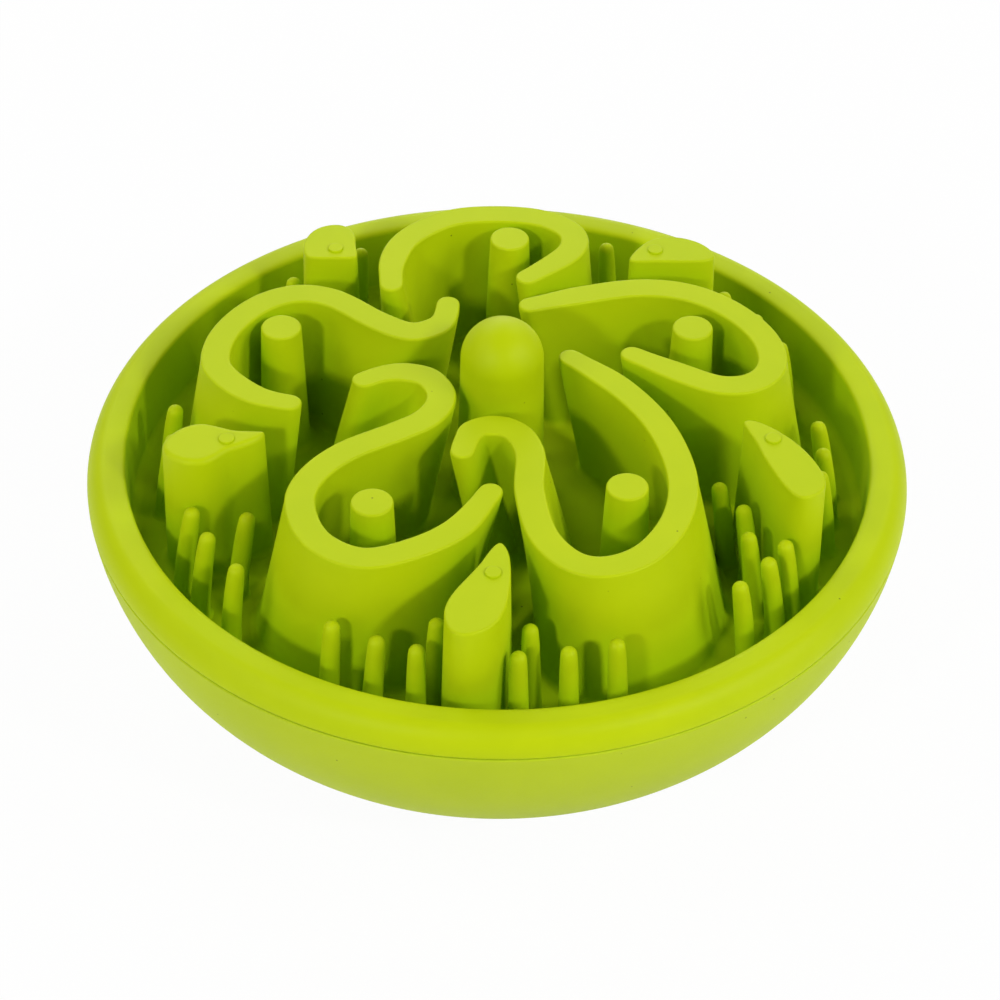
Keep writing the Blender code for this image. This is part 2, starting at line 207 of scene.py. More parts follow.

# %% [markdown]
# ## Rubber
# The bowl is compression-moulded natural rubber with lime pigment. The mould was sand-blasted, so
# the skin has a very fine grain and a satin, not a glossy, sheen. The colour wanders by a few
# percent, and a few dark specks of scorched rubber are pressed into the skin. In the channels the
# colour turns a deeper, darker green, which is painted shade, and the skin is duller, as nothing
# rubs it smooth there: an Ambient Occlusion node tells how sheltered a spot is. Grain and specks
# are noise on Object coordinates, scaled from their real size in millimetres.

# %% Rubber material
def lime_rubber(name, light, deep, painted_shade, roughness):
    """Satin moulded rubber: mottled, painted shade in recesses, scorch specks, blasted grain."""
    recess_mm = 30.0
    cloud_mm = 24.0
    grain_mm = 0.5  # the real grain is about 0.1 mm: drawn coarser, so that it shows
    wave_mm = 9.0
    speck_cell_mm = 3.2
    speck_mm = 0.32
    speck_rarity = 0.95
    speck_strength = 0.75
    scorched = "#4A5A08"
    dull = 0.95
    made = bpy.data.materials.new(name)
    made.use_nodes = True
    tree = made.node_tree
    tree.nodes.clear()
    place = add_node(tree, "ShaderNodeTexCoord").outputs["Object"]

    cloud = add_node(tree, "ShaderNodeTexNoise",
                     {"Vector": place, "Scale": 1.0 / (cloud_mm * MM),
                      "Detail": 3.0, "Roughness": 0.55})
    spread = add_node(tree, "ShaderNodeMapRange",
                      {"Value": cloud.outputs[0], "From Min": 0.32, "From Max": 0.68})
    mottle = add_node(tree, "ShaderNodeMix",
                      {"Factor": spread.outputs[0], 6: linear(light), 7: linear(deep)},
                      data_type="RGBA")

    # Painted shade: where the Ambient Occlusion node finds a spot sheltered, the colour turns to a
    # darker green.
    shelter = add_node(tree, "ShaderNodeAmbientOcclusion", {"Distance": recess_mm * MM}, samples=8)
    unshaded_share = add_node(tree, "ShaderNodeMapRange",
                        {"Value": shelter.outputs["AO"], "From Min": 0.1, "From Max": 0.6})
    green = add_node(tree, "ShaderNodeMix",
                     {"Factor": unshaded_share.outputs[0], 6: linear(painted_shade), 7: mottle.outputs[2]},
                     data_type="RGBA")

    cell = add_node(tree, "ShaderNodeTexVoronoi",
                    {"Vector": place, "Scale": 1.0 / (speck_cell_mm * MM)})
    luck = add_node(tree, "ShaderNodeSeparateColor", {0: cell.outputs["Color"]})
    chosen = add_node(tree, "ShaderNodeMath",
                      {0: luck.outputs[0], 1: speck_rarity}, operation="GREATER_THAN")
    dot = add_node(tree, "ShaderNodeMapRange",
                   {"Value": cell.outputs["Distance"], "From Min": speck_mm / speck_cell_mm,
                    "From Max": 0.4 * speck_mm / speck_cell_mm})
    speck = add_node(tree, "ShaderNodeMath",
                     {0: chosen.outputs[0], 1: dot.outputs[0]}, operation="MULTIPLY")
    faint = add_node(tree, "ShaderNodeMath",
                     {0: speck.outputs[0], 1: speck_strength}, operation="MULTIPLY")
    colour = add_node(tree, "ShaderNodeMix",
                      {"Factor": faint.outputs[0], 6: green.outputs[2], 7: linear(scorched)},
                      data_type="RGBA")

    grain = add_node(tree, "ShaderNodeTexNoise",
                     {"Vector": place, "Scale": 1.0 / (grain_mm * MM),
                      "Detail": 2.0, "Roughness": 0.6})
    wave = add_node(tree, "ShaderNodeTexNoise",
                    {"Vector": place, "Scale": 1.0 / (wave_mm * MM),
                     "Detail": 1.0, "Roughness": 0.4})
    low = add_node(tree, "ShaderNodeBump",
                   {"Height": wave.outputs[0], "Strength": 0.25, "Distance": 0.12 * MM})
    fine = add_node(tree, "ShaderNodeBump",
                    {"Height": grain.outputs[0], "Strength": 0.22, "Distance": 0.03 * MM,
                     "Normal": low.outputs[0]})
    satin = add_node(tree, "ShaderNodeMapRange",
                     {"Value": grain.outputs[0], "From Min": 0.3, "From Max": 0.7,
                      "To Min": roughness - 0.05, "To Max": roughness + 0.05})
    dulled = add_node(tree, "ShaderNodeMapRange",
                      {"Value": shelter.outputs["AO"], "From Min": 0.45, "From Max": 0.85,
                       "To Min": dull, "To Max": satin.outputs[0]})
    shader = add_node(tree, "ShaderNodeBsdfPrincipled",
                      {"Base Color": colour.outputs[2], "Roughness": dulled.outputs[0],
                       "Normal": fine.outputs[0], "IOR": 1.52, "Specular IOR Level": 0.12})
    add_node(tree, "ShaderNodeOutputMaterial", {"Surface": shader.outputs[0]})
    return made


maze_rubber = lime_rubber("moulded lime rubber, satin", "#BED000", "#B8CC00", "#A8CA00", 0.5)
# The hull's colours carry a little blue: a paler tint that is painted sheen.
hull_rubber = lime_rubber("moulded lime rubber, matt satin", "#BDCF22", "#B8CB20", "#AAC810", 0.55)
print("rubbers:", maze_rubber.name, "/", hull_rubber.name)

# %% [markdown]
# ## Ballast
# A cast-iron disc lies in a cup under the floor and makes the bowl stand up again. Nothing shows
# it, so the solid itself stays and gets the dark, gritty skin of a sand casting.

# %% Ballast
def sand_cast_iron():
    """Bare cast iron: the sand of its mould leaves a dark, gritty, half-dull skin."""
    grit_mm = 0.8
    made = bpy.data.materials.new("sand-cast iron")
    made.use_nodes = True
    tree = made.node_tree
    tree.nodes.clear()
    place = add_node(tree, "ShaderNodeTexCoord").outputs["Object"]
    grit = add_node(tree, "ShaderNodeTexNoise",
                    {"Vector": place, "Scale": 1.0 / (grit_mm * MM),
                     "Detail": 4.0, "Roughness": 0.65})
    tone = add_node(tree, "ShaderNodeMix",
                    {"Factor": grit.outputs[0], 6: linear("#3A3A3C"), 7: linear("#5C5A58")},
                    data_type="RGBA")
    rough = add_node(tree, "ShaderNodeBump",
                     {"Height": grit.outputs[0], "Strength": 0.5, "Distance": 0.15 * MM})
    shader = add_node(tree, "ShaderNodeBsdfPrincipled",
                      {"Base Color": tone.outputs[2], "Metallic": 1.0, "Roughness": 0.62,
                       "Normal": rough.outputs[0]})
    add_node(tree, "ShaderNodeOutputMaterial", {"Surface": shader.outputs[0]})
    return made


ballast = NODES["ballast_disc"]
ballast.data.materials.clear()
ballast.data.materials.append(sand_cast_iron())
print("ballast keeps its solid")

# %% [markdown]
# ## Turned pieces
# Hull, dish and posts are round: each is a half profile turned about the upright axis, as on a
# lathe. Blender has a spin operator for this, but a Geometry Nodes tree shows the rule better. It
# keeps each profile point's place and each ring point's share of a turn, sweeps one along the
# other, and then puts every point where its two kept values say.

# %% A lathe as a node tree
WELD = 1e-6


def lathe_tree():
    """A node tree that turns a profile of the XZ plane about Z and sets it in its place."""
    tree = bpy.data.node_groups.new("lathe", "GeometryNodeTree")
    face = tree.interface
    face.new_socket("Profile", in_out="INPUT", socket_type="NodeSocketGeometry")
    face.new_socket("Facets", in_out="INPUT", socket_type="NodeSocketInt")
    face.new_socket("Place", in_out="INPUT", socket_type="NodeSocketVector")
    face.new_socket("Rubber", in_out="INPUT", socket_type="NodeSocketMaterial")
    face.new_socket("Piece", in_out="OUTPUT", socket_type="NodeSocketGeometry")
    given = add_node(tree, "NodeGroupInput").outputs
    line = add_node(tree, "GeometryNodeMeshToCurve", {"Mesh": given["Profile"]})
    place = add_node(tree, "GeometryNodeInputPosition")
    outline = add_node(tree, "GeometryNodeStoreNamedAttribute",
                       {"Geometry": line.outputs[0], "Name": "outline", "Value": place.outputs[0]},
                       data_type="FLOAT_VECTOR")
    circle = add_node(tree, "GeometryNodeCurvePrimitiveCircle",
                      {"Resolution": given["Facets"], "Radius": 1.0})
    way = add_node(tree, "GeometryNodeSplineParameter")
    ring = add_node(tree, "GeometryNodeStoreNamedAttribute",
                    {"Geometry": circle.outputs[0], "Name": "share",
                     "Value": way.outputs["Factor"]})
    swept = add_node(tree, "GeometryNodeCurveToMesh",
                     {"Curve": ring.outputs[0], "Profile Curve": outline.outputs[0]})
    point = add_node(tree, "GeometryNodeInputNamedAttribute", {"Name": "outline"},
                     data_type="FLOAT_VECTOR")
    share = add_node(tree, "GeometryNodeInputNamedAttribute", {"Name": "share"})
    angle = add_node(tree, "ShaderNodeMath",
                     {0: share.outputs[0], 1: math.tau}, operation="MULTIPLY")
    spot = add_node(tree, "ShaderNodeVectorRotate",
                    {"Vector": point.outputs[0], "Angle": angle.outputs[0]},
                    rotation_type="Z_AXIS")
    turned = add_node(tree, "GeometryNodeSetPosition",
                      {"Geometry": swept.outputs[0], "Position": spot.outputs[0],
                       "Offset": given["Place"]})
    welded = add_node(tree, "GeometryNodeMergeByDistance",
                      {"Geometry": turned.outputs[0], "Distance": WELD})
    plain = add_node(tree, "GeometryNodeRemoveAttribute",
                     {"Geometry": welded.outputs[0], "Name": "outline"})
    bare = add_node(tree, "GeometryNodeRemoveAttribute",
                    {"Geometry": plain.outputs[0], "Name": "share"})
    real = add_node(tree, "GeometryNodeRealizeInstances", {"Geometry": bare.outputs[0]})
    painted = add_node(tree, "GeometryNodeSetMaterial",
                       {"Geometry": real.outputs[0], "Material": given["Rubber"]})
    add_node(tree, "NodeGroupOutput", {"Piece": painted.outputs[0]})
    return tree


LATHE = lathe_tree()
print("lathe nodes:", len(LATHE.nodes))

# %% Helpers for turned pieces
FLOOR_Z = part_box("dish_floor")[1].z
FOOT_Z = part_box("petal_1")[0].z
TOP_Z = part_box("petal_1")[1].z
SHARP_EDGE = math.radians(50.0)


def plain_shape(holder):
    """What an object's modifiers make of it, as a bmesh; the object itself is removed."""
    depsgraph = bpy.context.evaluated_depsgraph_get()
    result = bpy.data.meshes.new_from_object(holder.evaluated_get(depsgraph))
    bpy.data.objects.remove(holder)
    shape = bmesh.new()
    shape.from_mesh(result)
    bpy.data.meshes.remove(result)
    return shape


def grown(mesh, tree, **values):
    """Run a node tree on a mesh, its inputs set by name, and give the result as a plain shape."""
    seed = bpy.data.objects.new("seed", mesh)
    bpy.context.scene.collection.objects.link(seed)
    modifier = seed.modifiers.new("tree", "NODES")
    modifier.node_group = tree
    for item in tree.interface.items_tree:
        if item.in_out == "INPUT" and item.name in values:
            modifier[item.identifier] = values[item.name]
    return plain_shape(seed)


def spun(profile, facets, rubber, place=(0.0, 0.0, 0.0)):
    """Turn a profile of (radius, height) about an upright axis through the place."""
    mesh = bpy.data.meshes.new("profile")
    links = [(i, i + 1) for i in range(len(profile) - 1)]
    mesh.from_pydata([(r, 0.0, z) for r, z in profile], links, [])
    return grown(mesh, LATHE, Facets=facets, Place=place, Rubber=rubber)


def finish_piece(name, shape, rubber, slot, *nodes):
    """Turn a shape into a smooth object that stands for some solids."""
    bmesh.ops.remove_doubles(shape, verts=shape.verts, dist=WELD)
    bmesh.ops.dissolve_degenerate(shape, edges=shape.edges, dist=1e-7)
    bmesh.ops.recalc_face_normals(shape, faces=shape.faces)
    mesh = bpy.data.meshes.new(name)
    shape.to_mesh(mesh)
    shape.free()
    mesh.shade_smooth()
    mesh.set_sharp_from_angle(angle=SHARP_EDGE)
    mesh.materials.clear()
    mesh.materials.append(rubber)
    piece = bpy.data.objects.new(name, mesh)
    bpy.context.scene.collection.objects.link(piece)
    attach(piece, "root")
    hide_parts(*nodes)
    return piece


def arc(centre, radius, start, end, steps):
    """Points of an arc in the profile plane; angles in degrees, 0 pointing outwards."""
    points = []
    for i in range(steps + 1):
        turn = math.radians(start + (end - start) * i / steps)
        points.append((centre[0] + radius * math.cos(turn), centre[1] + radius * math.sin(turn)))
    return points


print("floor, foot and top in mm:", [round(z / MM, 2) for z in (FLOOR_Z, FOOT_Z, TOP_Z)])

# %% [markdown]
# ## Hull
# The hull is a deep bowl with a small flat to stand on. From outside it is one smooth curve up to
# the parting line, a quarter of an upright ellipse. A rule this simple is drawn from its numbers,
# far finer than the solid, with the wall's inside and the ballast's cup added so that it is closed.

# %% Hull
RING_FACETS = 288
SEAM_EASE = 0.5 * MM
REST_FACE_R = 30.0 * MM
BULGE_Z = 67.4 * MM
HULL_WALL = 3.6 * MM
HULL_BOTTOM = 6.0 * MM
HULL_STEPS = 44
INSIDE_STEPS = 20
CUP_INSIDE_R = 26.3 * MM
CUP_OUTSIDE_R = 29.3 * MM
CUP_Z = 12.0 * MM
hull_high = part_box("round_hull")[1]
SEAM_R, SEAM_Z = hull_high.x, hull_high.z


def hull_radius(height, inset=0.0, bottom=0.0):
    """Radius of the hull's ellipse at a height; the inside is a smaller ellipse."""
    half = (SEAM_R - REST_FACE_R) / math.sqrt(1.0 - ((BULGE_Z - SEAM_Z) / BULGE_Z) ** 2) - inset
    rise = min(1.0, (BULGE_Z - height) / (BULGE_Z - bottom))
    return REST_FACE_R + half * math.sqrt(1.0 - rise * rise)


# Heights grow with the square of the step, so the points lie close together at the tight bottom.
outside, inside = [], []
for i in range(HULL_STEPS + 1):
    height = (SEAM_Z - SEAM_EASE) * (i / HULL_STEPS) ** 2
    outside.append((hull_radius(height), height))
lip = arc((SEAM_R - SEAM_EASE, SEAM_Z - SEAM_EASE), SEAM_EASE, 0, 90, 5)[1:]
for i in range(INSIDE_STEPS + 1):
    height = HULL_BOTTOM + (SEAM_Z - HULL_BOTTOM) * (1.0 - i / INSIDE_STEPS) ** 2
    inside.append((hull_radius(height, HULL_WALL, HULL_BOTTOM), height))
cup = [(CUP_OUTSIDE_R, HULL_BOTTOM), (CUP_OUTSIDE_R, CUP_Z), (CUP_INSIDE_R, CUP_Z),
       (CUP_INSIDE_R, HULL_BOTTOM), (0.0, HULL_BOTTOM)]
hull_shape = spun([(0.0, 0.0)] + outside + lip + inside + cup, RING_FACETS, hull_rubber)
hull = finish_piece("hull", hull_shape, hull_rubber, "hull_rubber", "round_hull")
print("hull faces:", len(hull.data.polygons))

# %% [markdown]
# ## Dish
# The dish is the rolled rim, the well and the flat floor that carries the maze, all one moulding
# and all round. Its profile runs from the middle of the floor through a fillet, up the well wall,
# over the rim and down to the parting line, then back underneath, so the spun shape is closed.
# Both sides of the rim are quarters of an ellipse, but the inner one is raised to a power below
# one, which squares it off: the moulding has a crisp inner edge and a soft outer roll.

# %% Dish
CREST_SET = 4.6 * MM
CREST_RISE = 1.1 * MM
EDGE_FALL = 1.0 * MM
EDGE_POWER = 0.45
WELL_FLARE = 0.4 * MM
FLOOR_FILLET = 2.6 * MM
FLOOR_THICK = 3.6 * MM
LIP_UNDER_FLOOR = 6.0 * MM
EDGE_STEPS, ROLL_STEPS, PLUG_STEPS = 16, 24, 8
SOLID_GAP = 0.3 * MM  # the solids keep this distance from each other
rim_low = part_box("rim_ring")[0]
WELL_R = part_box("dish_floor")[1].x + SOLID_GAP
RIM_R = WELL_R + WELL_FLARE
UNDER_Z = SEAM_Z + SOLID_GAP

floor_line = [(0.0, FLOOR_Z), (0.5 * WELL_R, FLOOR_Z)]
corner = arc((WELL_R - FLOOR_FILLET, FLOOR_Z + FLOOR_FILLET), FLOOR_FILLET, -90, 0, 8)
crest_r = RIM_R + CREST_SET
crest_z = RIM_Z + CREST_RISE
inner_edge = []
for i in range(EDGE_STEPS + 1):
    turn = 0.5 * math.pi * i / EDGE_STEPS
    inner_edge.append((RIM_R + CREST_SET * (1.0 - math.cos(turn) ** EDGE_POWER),
                       RIM_Z - EDGE_FALL + (CREST_RISE + EDGE_FALL) * math.sin(turn) ** EDGE_POWER))
rolled = []
for i in range(ROLL_STEPS + 1):
    turn = 0.5 * math.pi * (1.0 - i / ROLL_STEPS)
    rolled.append((crest_r + (SEAM_R - crest_r) * math.cos(turn),
                   UNDER_Z + SEAM_EASE + (crest_z - UNDER_Z - SEAM_EASE) * math.sin(turn)))
seam_edge = arc((SEAM_R - SEAM_EASE, UNDER_Z + SEAM_EASE), SEAM_EASE, 0, -90, 5)[1:]
plug = []
for i in range(PLUG_STEPS + 1):
    height = UNDER_Z + (rim_low.z - UNDER_Z) * i / PLUG_STEPS
    plug.append((hull_radius(height, HULL_WALL, HULL_BOTTOM) - SOLID_GAP, height))
lip_r, belly_z = WELL_R - LIP_UNDER_FLOOR, FLOOR_Z - FLOOR_THICK
belly = [(lip_r, rim_low.z), (lip_r, belly_z), (0.0, belly_z)]
profile = floor_line + corner + inner_edge + rolled[1:] + seam_edge + plug + belly
dish_shape = spun(profile, RING_FACETS, maze_rubber)
dish = finish_piece("dish", dish_shape, maze_rubber, "maze_rubber", "rim_ring", "dish_floor")
print("dish faces:", len(dish.data.polygons), "well radius in mm:", round(WELL_R / MM, 1))

# %% [markdown]
# ## Walls that follow a plan
# Petal walls and leaf blocks are upright walls on a curved plan. Each solid already holds the
# plan twice: as the ring of points under its top edge and as the ring at its foot. The rings are
# read back, smoothed by a curve through their points and skinned again with a round top edge and
# a fillet to the floor, so the new wall stands where the solid does.

# %% Read the plan of a wall
LEVEL = 0.01 * MM  # points closer in height than this lie on one ring


def rings_of(node):
    """Points round the shoulder of a walled solid in order, and the foot point under each."""
    shape = bmesh.new()
    shape.from_mesh(NODES[node].data)
    bmesh.ops.remove_doubles(shape, verts=shape.verts, dist=WELD)
    foot_z, shoulder_z = sorted({round(v.co.z, 5) for v in shape.verts})[:2]
    left = {v for v in shape.verts if abs(v.co.z - shoulder_z) < LEVEL}
    beside = {v: [e.other_vert(v) for e in v.link_edges if e.other_vert(v) in left] for v in left}
    ring = [min(left, key=lambda v: (len(beside[v]), v.index))]
    left.discard(ring[0])
    while left:
        last = ring[-1]
        options = [v for v in beside[last] if v in left] or list(left)
        ring.append(min(options, key=lambda v: (v.co - last.co).length))
        left.discard(ring[-1])
    feet = []
    for i, vert in enumerate(ring):
        along = (ring[(i + 1) % len(ring)].co - ring[i - 1].co).normalized()
        below = [e.other_vert(vert) for e in vert.link_edges]
        below = [v for v in below if abs(v.co.z - foot_z) < LEVEL]
        feet.append(min(below, key=lambda v: abs((v.co - vert.co).dot(along))).co.copy())
    shoulder = [v.co.copy() for v in ring]
    shape.free()
    area = sum(a.x * b.y - b.x * a.y for a, b in zip(shoulder, shoulder[1:] + shoulder[:1]))
    return (shoulder, feet) if area > 0 else (shoulder[::-1], feet[::-1])


petal_plan = rings_of("petal_1")[0]
print("petal 1 has", len(petal_plan), "points round its shoulder")

# %% Smooth and measure a ring
def smooth_ring(points, gaps, counts):
    """A closed curve through the points; gaps are the knot spacings, counts the steps in each."""
    many = len(points)
    smooth = []
    for i in range(many):
        before, a, b, after = (points[(i + k) % many] for k in (-1, 0, 1, 2))
        d0, d1, d2 = gaps[i - 1], gaps[i], gaps[(i + 1) % many]
        lead = ((a - before) / d0 - (b - before) / (d0 + d1) + (b - a) / d1) * d1
        tail = ((b - a) / d1 - (after - a) / (d1 + d2) + (after - b) / d2) * d1
        for k in range(counts[i]):
            t = k / counts[i]
            smooth.append(a * (2 * t ** 3 - 3 * t ** 2 + 1) + lead * (t ** 3 - 2 * t ** 2 + t)
                          + b * (3 * t ** 2 - 2 * t ** 3) + tail * (t ** 3 - t ** 2))
    return smooth


def outward(ring):
    """Level outward direction at each point of a ring that runs anticlockwise."""
    ways = []
    for i in range(len(ring)):
        along = (ring[(i + 1) % len(ring)] - ring[i - 1]).normalized()
        ways.append(Vector((along.y, -along.x, 0.0)))
    return ways


def room(ring, ways):
    """Radius of the largest circle inside a ring that touches it at each point."""
    radii = []
    for p, n in zip(ring, ways):
        across = [(p - q, (p - q).dot(n)) for q in ring]
        circles = [line.length_squared / (2.0 * away) for line, away in across if away > 1e-7]
        radii.append(min(circles))
    return radii


def at_height(points, height):
    """The points again, all at one height."""
    return [Vector((p.x, p.y, height)) for p in points]


least_room = min(room(petal_plan, outward(petal_plan)))
print("the narrowest tip of petal 1 has room for a radius of", round(least_room / MM, 2), "mm")

# %% Lean a wall
LEAN_NEAR = 36.0 * MM
LEAN_FAR = 66.0 * MM
RIM_LEAN = 0.3


def leaned(feet, shift):
    """Foot points moved sideways: fully near the middle of the bowl, by a part of it at the rim."""
    moved = []
    for p in feet:
        way = (Vector((p.x, p.y)).length - LEAN_NEAR) / (LEAN_FAR - LEAN_NEAR)
        way = min(1.0, max(0.0, way))
        share = 1.0 - (1.0 - RIM_LEAN) * way * way * (3.0 - 2.0 * way)
        moved.append(p + Vector((shift * share, 0.0, 0.0)))
    return moved


print("share of a lean that is left", LEAN_FAR / MM, "mm from the middle:", RIM_LEAN)

# %% One wall from its plan
WALL_STEP = 1.1 * MM
TOP_EDGE = 0.55 * MM
FOOT_FILLET = 1.7 * MM
FOOT_BURIED = 0.4 * MM
FILLET_STEPS, WALL_STEPS, ROUND_STEPS = 6, 5, 7
ROOM_SHARE = 0.7  # the rounding of a narrow tip takes this share of the room there
FLAT_BORDER = 1.35  # one more ring, this many insets in, keeps the shading of the top flat


def skinned(loops):
    """Skin equal loops from the lowest to the highest and close both ends."""
    shape = bmesh.new()
    rows = [[shape.verts.new(p) for p in loop] for loop in loops]
    for low, high in zip(rows, rows[1:]):
        for i in range(len(low)):
            j = (i + 1) % len(low)
            shape.faces.new((low[i], low[j], high[j], high[i]))
    shape.faces.new(rows[0][::-1])
    shape.faces.new(rows[-1])
    return shape


def wall(node, edge, lean=0.0):
    """The smooth wall that stands for a petal or leaf solid; edge is its top rounding."""
    shoulder, feet = rings_of(node)
    following = shoulder[1:] + shoulder[:1]
    gaps = [math.sqrt(max((b - a).length, WELD)) for a, b in zip(shoulder, following)]
    counts = [max(2, round((b - a).length / WALL_STEP)) for a, b in zip(shoulder, following)]
    top = smooth_ring(shoulder, gaps, counts)
    foot = leaned(smooth_ring(feet, gaps, counts), lean)
    top_out, foot_out = outward(top), outward(foot)
    insets = [min(edge, ROOM_SHARE * r) for r in room(top, top_out)]
    shoulder_z, foot_z = top[0].z, foot[0].z
    bend_z = min(shoulder_z, TOP_Z - edge)
    rise_z = FLOOR_Z + FOOT_FILLET

    def face(height):
        """The ring of the plain wall at a height."""
        share = (height - foot_z) / (shoulder_z - foot_z)
        return [f.lerp(s, share) for f, s in zip(foot, top)]

    def drawn_in(share):
        """The top ring moved inwards by a share of the rounding."""
        return [p - n * inset * share for p, n, inset in zip(top, top_out, insets)]

    buried = [p + n * FOOT_FILLET for p, n in zip(foot, foot_out)]
    loops = [at_height(buried, FLOOR_Z - FOOT_BURIED)]
    for i in range(FILLET_STEPS + 1):
        turn = 0.5 * math.pi * i / FILLET_STEPS
        reach = FOOT_FILLET * (1.0 - math.sin(turn))
        height = FLOOR_Z + FOOT_FILLET * (1.0 - math.cos(turn))
        flared = [p + n * reach for p, n in zip(face(height), foot_out)]
        loops.append(at_height(flared, height))
    for i in range(1, WALL_STEPS + 1):
        height = rise_z + (bend_z - rise_z) * i / WALL_STEPS
        loops.append(at_height(face(height), height))
    for i in range(ROUND_STEPS + 1):
        turn = 0.5 * math.pi * i / ROUND_STEPS
        height = TOP_Z - edge * (1.0 - math.sin(turn))
        loops.append(at_height(drawn_in(1.0 - math.cos(turn)), height))
    loops.append(at_height(drawn_in(FLAT_BORDER), TOP_Z))
    return skinned(loops)


print("wall edges in mm: top", TOP_EDGE / MM, "foot", FOOT_FILLET / MM)

# %% [markdown]
# ## Petals
# Five wandering walls make the flower. Food lies between them, and their feet flare towards the
# rim so that the mould lets go. They all come from the one wall function. In the picture they also
# lean: the tops bend to the middle line, so the feet stand further to the side, by up to 7.5 mm at
# the inner ends and by less at the rim. The solids stand upright there, so the lean is added here.

# %% Petals
PETAL_LEANS_MM = (-7.3, 7.5, 7.5, 7.0, -6.5)
for k, lean in enumerate(PETAL_LEANS_MM, 1):
    shape = wall(f"petal_{k}", TOP_EDGE, lean * MM)
    petal = finish_piece(f"petal_wall_{k}", shape, maze_rubber, "maze_rubber", f"petal_{k}")
    print(petal.name, "faces:", len(petal.data.polygons))

# %% [markdown]
# ## Leaves
# Between the petals stand five solid blocks with the plan of a leaf: round at one end, pointed at
# the other. They are walls too, only short and thick, so the same function makes them. Each has
# a small round mark on top: a vent plug of the mould sat a little too deep, so the rubber flowed up
# into its hole and left a button under half a millimetre high. A Boolean union joins the button to
# the block, and its near side shows as a thin crescent of shade.

# %% Leaves with vent marks
MARK_R = 1.9 * MM
MARK_RISE = 0.45 * MM
MARK_EDGE = 0.1 * MM
MARK_ROOT = 1.0 * MM
MARK_FACETS = 40
LEAF_EDGES_MM = (1.4, 0.55, 0.55, 0.55, 0.55)
MARK_SPOTS_MM = ((-64.2, -20.2), (-0.6, -65.3), (65.4, -17.1), (39.5, 56.7), (-42.1, 55.3))


def joined(shape, button):
    """Two closed shapes as one."""
    objects = []
    for part in (shape, button):
        bmesh.ops.recalc_face_normals(part, faces=part.faces)
        mesh = bpy.data.meshes.new("part")
        part.to_mesh(mesh)
        part.free()
        objects.append(bpy.data.objects.new("part", mesh))
        bpy.context.scene.collection.objects.link(objects[-1])
    block, mark = objects
    union = block.modifiers.new("mark", "BOOLEAN")
    union.operation = "UNION"
    union.object = mark
    marked = plain_shape(block)
    bpy.data.objects.remove(mark)
    return marked


for k, (x, y) in enumerate(MARK_SPOTS_MM, 1):
    low_z, high_z = TOP_Z - MARK_ROOT, TOP_Z + MARK_RISE
    profile = [(0.0, low_z), (MARK_R, low_z), (MARK_R, high_z - MARK_EDGE),
               (MARK_R - MARK_EDGE, high_z), (MARK_R - 3 * MARK_EDGE, high_z), (0.0, high_z)]
    button = spun(profile, MARK_FACETS, maze_rubber, (x * MM, y * MM, 0.0))
    shape = joined(wall(f"leaf_block_{k}", LEAF_EDGES_MM[k - 1] * MM), button)
    leaf = finish_piece(f"leaf_{k}", shape, maze_rubber, "maze_rubber", f"leaf_block_{k}")
    print(leaf.name, "faces:", len(leaf.data.polygons))

# %% [markdown]
# ## Posts
# A tapered post stands in each petal and a taller one with a domed top in the middle. They are
# turned like the dish and then moved to their places, which come from the boxes of the solids.

# %% Posts
POST_FACETS = 72
POST_R = 5.0 * MM
POST_BORDER = 0.25 * MM
MIDDLE_R = 10.1 * MM
DOME_STEPS = 20


def post_profile(foot_r, top):
    """Half profile: buried foot, fillet, tapered wall, then the given top."""
    buried_z = FLOOR_Z - FOOT_BURIED
    points = [(0.0, buried_z), (foot_r + FOOT_FILLET, buried_z)]
    for i in range(FILLET_STEPS + 1):
        turn = 0.5 * math.pi * i / FILLET_STEPS
        points.append((foot_r + FOOT_FILLET * (1.0 - math.sin(turn)),
                       FLOOR_Z + FOOT_FILLET * (1.0 - math.cos(turn))))
    return points + top


def stand(node, profile, name):
    """A turned post in the place of its solid."""
    low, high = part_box(node)
    place = ((low.x + high.x) / 2, (low.y + high.y) / 2, 0.0)
    shape = spun(profile, POST_FACETS, maze_rubber, place)
    return finish_piece(name, shape, maze_rubber, "maze_rubber", node)


flat_top = []
for i in range(ROUND_STEPS + 1):
    turn = 0.5 * math.pi * i / ROUND_STEPS
    flat_top.append((POST_R - TOP_EDGE * (1.0 - math.cos(turn)),
                     TOP_Z - TOP_EDGE * (1.0 - math.sin(turn))))
flat_top += [(POST_R - TOP_EDGE - POST_BORDER, TOP_Z), (0.0, TOP_Z)]
for k in range(1, 6):
    low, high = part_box(f"petal_post_{k}")
    stand(f"petal_post_{k}", post_profile((high.x - low.x) / 2, flat_top), f"post_{k}")

low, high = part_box("centre_post")
dome = arc((0.0, high.z - MIDDLE_R), MIDDLE_R, 0, 90, DOME_STEPS)
dome[-1] = (0.0, high.z)
stand("centre_post", post_profile((high.x - low.x) / 2, dome), "middle_post")
print("posts: 5 flat, 1 domed, top in mm:", round(high.z / MM, 1))

# %% [markdown]
# ## Pegs
# The outer channel is full of small tapered pegs that lean to the middle. The same peg stands at
# every spot, so a Geometry Nodes tree makes one peg and puts a copy on each point. The peg is a
# line swept by a circle. Its outline is drawn once as a curve: fillet, taper, round tip. It leans
# more than its solid, so its foot stands further out and its tip where the solid's tip is. A small
# seeded tilt keeps the pegs from being all alike, as on soft rubber.

# %% One peg as a node tree
PEG_OUTLINE = ((0.0, 1.0), (0.008, 0.86), (0.024, 0.74), (0.052, 0.675), (0.5, 0.59), (0.92, 0.495),
               (0.945, 0.475), (0.965, 0.415), (0.983, 0.31), (0.995, 0.17), (1.0, 0.01))
PEG_RINGS = 30
PEG_SIDES = 20
PEG_BEND = 1.4
TILT_SEED = 11


